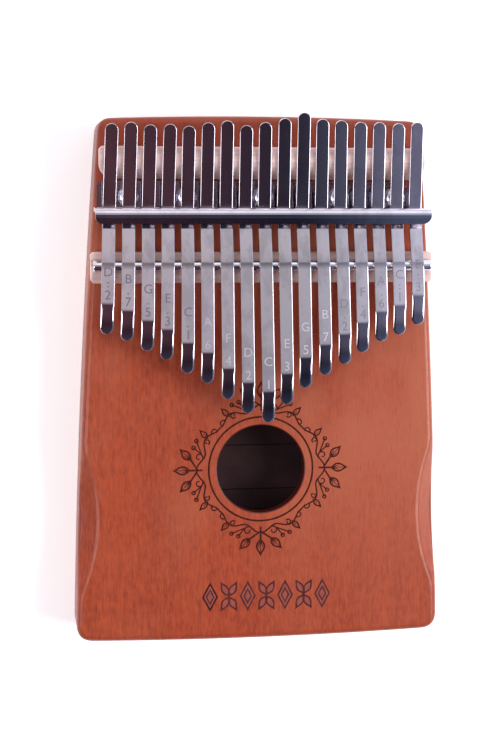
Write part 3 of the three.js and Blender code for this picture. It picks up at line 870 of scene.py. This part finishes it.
def make_rod():
    """The saddle rod, with softened ends."""
    low, high = BOX["saddle_rod"]
    radius = (high.z - low.z) / 2 - ROD_INSET
    soft = 0.45 * MM
    stations = [(0.0, 0.02 * MM)]
    stations += [(soft * (1 - math.cos(a)), radius - soft * (1 - math.sin(a))) for a in quarter(6)]
    rings = []
    for x, r in [(low.x + x, r) for x, r in stations] + [(high.x - x, r) for x, r in reversed(stations)]:
        rings.append([Vector((x, ROD_Y + r * math.cos(a), ROD_Z + r * math.sin(a))) for a in turns(64)])
    rod = solid("saddle_rod_steel", capped(rings), [ROD_CHROME], sharp=60)
    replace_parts(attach(rod, "soundbox"), "saddle_rod")


# ---- Bracket and screws ----

def finish_bracket():
    """The bracket keeps its CAD shape. It is welded, and given softened edges and a finish."""
    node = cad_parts["z_bracket"]
    node.data.materials.clear()
    node.data.materials.append(BRACKET_CHROME)
    weld = node.modifiers.new("weld", "WELD")
    weld.merge_threshold = 0.001 * MM
    bevel = node.modifiers.new("soft_edges", "BEVEL")
    bevel.width = 0.25 * MM
    bevel.segments = 3
    bevel.limit_method = "ANGLE"
    bevel.angle_limit = math.radians(40)
    node.data.shade_smooth()
    node.modifiers.new("flat_faces", "WEIGHTED_NORMAL").keep_sharp = True


def make_screw(name):
    """A pan-head screw: a straight shank, and a domed head with a cross-shaped recess."""
    low, high = BOX[name]
    x, y = (low.x + high.x) / 2, (low.y + high.y) / 2
    radius = (high.x - low.x) / 2
    rim = 0.999 * radius
    seat, height = FACE + BRACKET_THICKNESS, high.z - FACE - BRACKET_THICKNESS
    shank, point_length = 1.45 * MM, 3 * MM
    recess_half_width, recess_reach, recess_depth = 0.45 * MM, 2 * MM, 1.1 * MM
    soft_side, soft_end = 0.08 * MM, 0.1 * MM
    count = 120
    profile = [(low.z, 0.1 * MM), (low.z + point_length, shank), (seat, shank)]
    profile += [(seat, 0.93 * radius), (seat + 0.15 * height, rim)]
    rings = [circle(x, y, z, reach, count) for z, reach in profile]
    # The rings follow the dome's steep rim first, and are then evenly spread, so that the recess is sharp.
    *outer, inner = [math.cos(a) for a in quarter(46)[:13]]
    for share in outer + [lerp(inner, 0.01, i / 34) for i in range(35)]:
        ring = circle(x, y, seat, rim * share, count)
        dome = lerp(0.42, 1.0, math.sqrt(1 - share * share)) * height
        for point in ring:
            across, along = abs(point.x - x), abs(point.y - y)
            arms = []
            for a, b in ((across, along), (along, across)):
                inside = smooth(recess_half_width - a, -soft_side, soft_side)
                arms.append(inside * smooth(recess_reach - b, -soft_end, soft_end))
            point.z = seat + dome - recess_depth * max(arms)
        rings.append(ring)
    screw = solid(f"{name}_steel", capped(rings), [SCREW_STEEL], sharp=50)
    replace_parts(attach(screw, "soundbox"), name)


# ---- Tines ----

def ramp(t, reach):
    """0 before a bend and t after it, rounded within reach."""
    if t <= -reach:
        return 0.0
    return t if t >= reach else (t + reach) ** 2 / (4 * reach)


class Strip:
    """One tine's shape in its own frame: its middle line as a height over y, from tip to tail."""

    def __init__(self, number, lean):
        low, high = BOX[f"tine_{number:02d}"]
        self.x = (number - (len(NOTES) + 1) / 2) * TINE_PITCH
        self.lean = math.radians(lean)
        trimmed = END_RADIUS - END_TRIM
        self.tip = RISER_Y - (RISER_Y - low.y - END_RADIUS) / math.cos(self.lean) - trimmed
        self.tail = RISER_Y + (high.y - RISER_Y - END_RADIUS) / math.cos(self.lean) + trimmed
        half = TINE_THICKNESS / 2
        rod_height = ROD_TOP + TINE_GAP + half
        press_height = FACE + PRESS_HEIGHT
        tail_slope = (RIDGE_TOP + TINE_GAP + half - press_height) / (RIDGE_Y - RISER_Y)
        self.knee = self.tip + TIP_RUN
        knee_height = rod_height + (ROD_Y - self.knee) * FREE_SLOPE
        self.start = knee_height - TIP_RUN * TIP_SLOPE - WORN_RUN * WORN_SLOPE
        press_slope = (press_height - rod_height) / (RISER_Y - ROD_Y)
        slopes = [TIP_SLOPE + WORN_SLOPE, TIP_SLOPE, -FREE_SLOPE, press_slope, tail_slope]
        places = [(self.tip + WORN_RUN, WORN_RUN), (self.knee, TIP_BEND)]
        places += [(ROD_Y, ROD_BEND), (RISER_Y, PRESS_BEND)]
        self.slope = slopes[0]
        self.bends = [(y, reach, b - a) for (y, reach), a, b in zip(places, slopes, slopes[1:])]

    def height(self, y):
        bends = sum(change * ramp(y - place, reach) for place, reach, change in self.bends)
        return self.start + self.slope * (y - self.tip) + bends

    def at(self, x, y, off):
        """A point x across, y along and off above the strip's middle surface, in the row frame."""
        small = 0.05 * MM
        slope = (self.height(y + small) - self.height(y - small)) / (2 * small)
        normal = Vector((0, -slope, 1)).normalized()
        local = Vector((x, y - RISER_Y, self.height(y))) + normal * off
        turned = Matrix.Rotation(-self.lean, 3, "Z") @ local
        return turned + Vector((self.x, RISER_Y, 0))

    def stations(self):
        """The places along the strip that its mesh has rings at, close together at ends and bends."""
        ends = [END_RADIUS * (1 - math.cos(a)) for a in quarter(16)]
        inner = [place + reach * k / 5 for place, reach, _ in self.bends for k in range(-6, 7)]
        first, last = self.tip + END_RADIUS, self.tail - END_RADIUS
        spans = int((self.tail - self.tip) / (2.5 * MM))
        places = [y for y in inner if first < y < last]
        places += [lerp(first, last, i / spans) for i in range(1, spans)]
        places += [self.tip + end for end in ends] + [self.tail - end for end in ends]
        return sorted({round(y, 7) for y in places})

    def past(self, y):
        """How far y lies past the centre of a rounded end."""
        return max(self.tip + END_RADIUS - y, y - self.tail + END_RADIUS, 0)

    def half_width(self, y):
        """Half the strip's width at y, a hair less than the CAD strip's."""
        return math.sqrt(max(END_RADIUS ** 2 - self.past(y) ** 2, 0)) * 0.9999

    def rim(self, x, y):
        """How far a point lies inside the strip's plan."""
        return END_RADIUS - math.hypot(x, self.past(y))

    def rounding(self, y):
        """The rim's width and fall: broad and ground smooth at the tip, narrow elsewhere."""
        t = smooth(self.knee - y, -1.5 * MM, 1.5 * MM)
        return [lerp(plain, worn_and_painted_shade, t) for plain, worn_and_painted_shade in zip(PLAIN_RIM, WORN_RIM)]

    def mesh_data(self):
        """Points and quads of a closed tube round the strip."""
        across = [math.sin(a) ** 0.75 for a in quarter(12)]
        across = [-s for s in reversed(across[1:])] + across
        half = TINE_THICKNESS / 2
        rings = []
        for y in self.stations():
            width = self.half_width(y)
            wide, fall = self.rounding(y)
            top, bottom = [], []
            for share in across:
                x = share * width
                edge = clamp(self.rim(x, y) / wide)
                drop = fall * (1 - math.sqrt(1 - (1 - edge) ** 2))
                top.append(self.at(x, y, half - drop))
                bottom.append(self.at(x, y, -half + 0.5 * drop))
            rings.append(top + bottom[::-1])
        return loft(rings)


MARK_HEIGHT = 3.2 * MM
MARK_RISE = 0.02 * MM
CAPITAL_SHARE = 0.72
LETTER_PLACE = 11.4 * MM
DIGIT_PLACE = 3.6 * MM
DOT_PLACE = 6.6 * MM
DOT_PITCH = 1.3 * MM
DOT_RADIUS = 0.28 * MM


def text_mesh(text):
    """A letter or digit as a thin solid about the origin, standing along +Y."""
    data = bpy.data.curves.new("mark", "FONT")
    data.body = text
    data.size = MARK_HEIGHT / CAPITAL_SHARE
    data.align_x = "CENTER"
    data.align_y = "CENTER"
    data.extrude = MARK_RISE
    data.resolution_u = 3
    holder = bpy.data.objects.new("mark", data)
    bpy.context.scene.collection.objects.link(holder)
    bpy.context.view_layer.update()
    mesh = bpy.data.meshes.new_from_object(holder.evaluated_get(bpy.context.evaluated_depsgraph_get()))
    bpy.data.objects.remove(holder)
    points = [v.co.copy() for v in mesh.vertices]
    faces = [tuple(p.vertices) for p in mesh.polygons]
    bpy.data.meshes.remove(mesh)
    return points, faces


def mark_parts(letter, number, dots):
    """The marks of one tine, as (points, faces, distance from the knee towards the bridge)."""
    parts = [(*text_mesh(letter), LETTER_PLACE), (*text_mesh(str(number)), DIGIT_PLACE)]
    rings = [circle(0, 0, z, DOT_RADIUS, 12) for z in (MARK_RISE, -MARK_RISE)]
    parts += [(*capped(rings), DOT_PLACE + i * DOT_PITCH) for i in range(dots)]
    return parts


def make_tine(number, letter, digit, dots, lean):
    """One strip and its marks, in place of the CAD tine."""
    strip = Strip(number, lean)
    points, faces = strip.mesh_data()
    steel_faces = len(faces)
    for mark, mark_faces, distance in mark_parts(letter, digit, dots):
        y = strip.knee + distance
        bent = [strip.at(p.x, y + p.y, TINE_THICKNESS / 2 + p.z) for p in mark]
        add_shape(points, faces, (bent, mark_faces))
    shape = points, faces
    piece = solid(f"tine_{number:02d}_strip", shape, [TINE_STEEL, MARK_STEEL], sharp=50)
    for polygon in piece.data.polygons:
        polygon.material_index = 0 if polygon.index < steel_faces else 1
    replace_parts(piece, f"tine_{number:02d}")
    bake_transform(piece)


# ---- Label ----

def make_label_sheet():
    """A paper sheet inside the back, with rounded corners."""
    low, high = BOX["interior_label"]
    corner = 2 * MM
    rings = []
    for inset, z in ((0.0, low.z), (0.0, high.z - 0.05 * MM), (0.06 * MM, high.z)):
        ring = []
        reach = corner - inset
        for sx, sy, turn in ((1, 1, 0), (-1, 1, 90), (-1, -1, 180), (1, -1, 270)):
            x = (high.x if sx > 0 else low.x) - sx * corner
            y = (high.y if sy > 0 else low.y) - sy * corner
            for a in (math.radians(turn) + angle for angle in quarter(6)):
                ring.append(Vector((x + reach * math.cos(a), y + reach * math.sin(a), z)))
        rings.append(ring)
    paper = solid("label_sheet", capped(rings), [LABEL_PAPER], sharp=30)
    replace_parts(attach(paper, "soundbox"), "interior_label")


def make_label_lines():
    """The sheet's printed frame and two ruled lines, each a flat bar."""
    low, high = BOX["interior_label"]
    points, faces = [], []
    margin, width = 1.6 * MM, 0.45 * MM
    left, right, front, rear = low.x + margin, high.x - margin, low.y + margin, high.y - margin
    bars = [(left, front, right, front + width), (left, rear - width, right, rear)]
    bars += [(left, front, left + width, rear), (right - width, front, right, rear)]
    for distance in LABEL_RULES:
        y = BOTTOM_EDGE + distance
        bars.append((left + 3 * MM, y - width / 2, right - 3 * MM, y + width / 2))
    for x0, y0, x1, y1 in bars:
        corners = ((x0, y0), (x1, y0), (x1, y1), (x0, y1))
        heights = (high.z + 0.01 * MM, high.z - 0.05 * MM)
        add_shape(points, faces, capped([[Vector((*corner, z)) for corner in corners] for z in heights]))
    ink = solid("label_lines", (points, faces), [LABEL_INK], sharp=30)
    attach(ink, "soundbox")


# ---- Studio ----

def make_floor():
    """White paper under the part, in squares small enough to shade evenly."""
    half, steps = 1.6, 16
    low = cad_box[0].z - 0.2 * MM
    places = [lerp(-half, half, i / steps) for i in range(steps + 1)]
    points = [(x, y, low) for x in places for y in places]
    corners = [i * (steps + 1) + k for i in range(steps) for k in range(steps)]
    faces = [(a, a + steps + 1, a + steps + 2, a + 1) for a in corners]
    paper = Finish("floor_paper", Specular_IOR_Level=0.1, Roughness=0.9, Emission_Strength=0.42)
    paper.shader.inputs["Emission Color"].default_value = (1, 1, 1, 1)
    grain = paper.noise(paper.scaled(300, 300, 300), detail=2)
    paper.set("Base Color", paper.mix(grain, (0.93, 0.93, 0.93, 1), (0.96, 0.96, 0.96, 1)))
    solid("floor", (points, faces), [paper.material])


SOFTBOX_TINT = (0.98, 0.97, 1.0)


def area_light(name, place, target, size, power):
    """A rectangular softbox at place that faces target."""
    data = bpy.data.lights.new(name, "AREA")
    data.shape = "RECTANGLE"
    data.size, data.size_y = size
    data.energy = power
    data.color = SOFTBOX_TINT
    light = bpy.data.objects.new(name, data)
    direction = Vector(target) - Vector(place)
    light.matrix_world = Matrix.Translation(place) @ direction.to_track_quat("-Z", "Y").to_matrix().to_4x4()
    bpy.context.scene.collection.objects.link(light)


def make_lights():
    area_light("rear_softbox", (0.05, 0.85, 0.85), (0.05, 0, 0), (1.9, 1.0), 2.4)
    area_light("left_key", (-0.85, -0.2, 0.85), (0, 0, 0), (0.35, 1.0), 5.2)
    area_light("right_key", (0.9, -0.05, 0.95), (0, 0, 0), (0.7, 0.7), 12.6)


def make_world():
    """A dim room of several tones for the steel to reflect."""
    world = bpy.data.worlds.new("studio")
    world.use_nodes = True
    nodes, links = world.node_tree.nodes, world.node_tree.links
    direction = nodes.new("ShaderNodeSeparateXYZ")
    links.new(nodes.new("ShaderNodeTexCoord").outputs["Generated"], direction.inputs["Vector"])

    def shade(axis, stops):
        """A colour for each direction, from its share along one axis, which runs from -1 to 1."""
        share = nodes.new("ShaderNodeMapRange")
        share.inputs["From Min"].default_value = -1
        links.new(direction.outputs[axis], share.inputs["Value"])
        made = nodes.new("ShaderNodeValToRGB")
        links.new(share.outputs["Result"], made.inputs["Fac"])
        while len(made.color_ramp.elements) < len(stops):
            made.color_ramp.elements.new(0.5)
        for stop, (place, colour) in zip(made.color_ramp.elements, stops):
            stop.position = (place + 1) / 2
            stop.color = (*colour, 1)
        return made.outputs["Color"]
    warm, dark, bright = (0.10, 0.043, 0.055), (0.02, 0.02, 0.035), (0.24, 0.245, 0.35)
    room = shade("X", [(0.06, warm), (0.19, dark), (0.28, bright)])
    glow = [(0.01, 0), (0.05, 0.2), (0.1, 0.45), (0.16, 0.5), (0.3, 0.18), (0.42, 0.14), (0.6, 0.7)]
    front = [(-0.9, (0, 0, 0)), (-0.6, (0.035, 0.05, 0.085)), (-0.38, (0, 0, 0))]
    rear = shade("Y", front + [(place, (0.97 * level, 0.96 * level, level)) for place, level in glow])
    dim = shade("Y", [(-0.36, (0.45, 0.5, 0.55)), (-0.27, (1, 1, 1))])

    def combine(blend, a, b):
        made = nodes.new("ShaderNodeMix")
        made.data_type = "RGBA"
        made.blend_type = blend
        made.inputs["Factor"].default_value = 1
        links.new(a, made.inputs[6])
        links.new(b, made.inputs[7])
        return made.outputs[2]
    colour = combine("ADD", combine("MULTIPLY", room, dim), rear)
    links.new(colour, nodes["Background"].inputs["Color"])
    bpy.context.scene.world = world
    bpy.context.scene.view_settings.view_transform = "Standard"


# ---- The whole part in its studio ----

make_camera()
make_soundboard()
make_body_core()
make_back_board()
make_wreath()
make_border()
make_rear_bridge()
make_front_bridge()
make_rod()
make_label_sheet()
make_label_lines()
finish_bracket()
for i in range(SCREW_COUNT):
    make_screw(f"bracket_screw_{i + 1}")
for i, (letter, digit, dots, lean) in enumerate(NOTES):
    make_tine(i + 1, letter, digit, dots, lean)
make_floor()
make_lights()
make_world()
